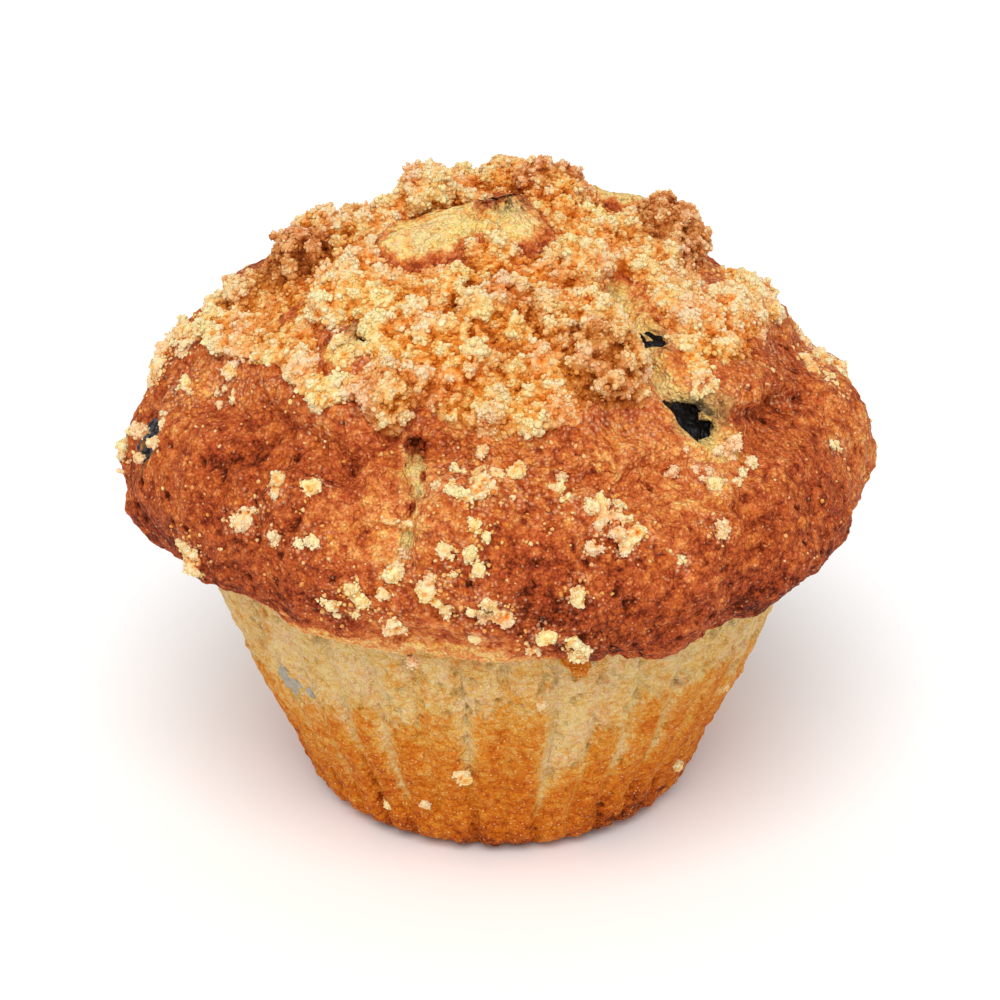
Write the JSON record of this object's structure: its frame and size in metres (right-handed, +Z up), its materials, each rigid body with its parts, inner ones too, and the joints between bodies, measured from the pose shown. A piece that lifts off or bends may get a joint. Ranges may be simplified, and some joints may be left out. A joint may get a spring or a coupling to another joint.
{
  "type": "muffin",
  "caption": "Crumb-topped berry muffin with a tapered cup printed by a pleated case, a wide overhanging browned cap and a rough heap of crumble.",
  "frame": {"origin": "middle of the flat base, on the surface the muffin stands on", "axes": "+Z up through the middle of the cap, -Y towards the front with the split rim, +X to the right seen from the front"},
  "size_m": [0.0971, 0.0969, 0.0849],
  "materials": {
    "cake": "matte browned crust over pale golden crumb",
    "crumble": "matte, granular",
    "berry": "satin, wrinkled skin"
  },
  "bodies": {
    "root": {"cake": "cake", "crumble": "crumble", "berry_right": "berry", "berry_left": "berry", "berry_upper_left": "berry", "berry_upper_right": "berry", "berry_side": "berry", "berry_back_left": "berry", "berry_back_side": "berry"}
  },
  "joints": []
}
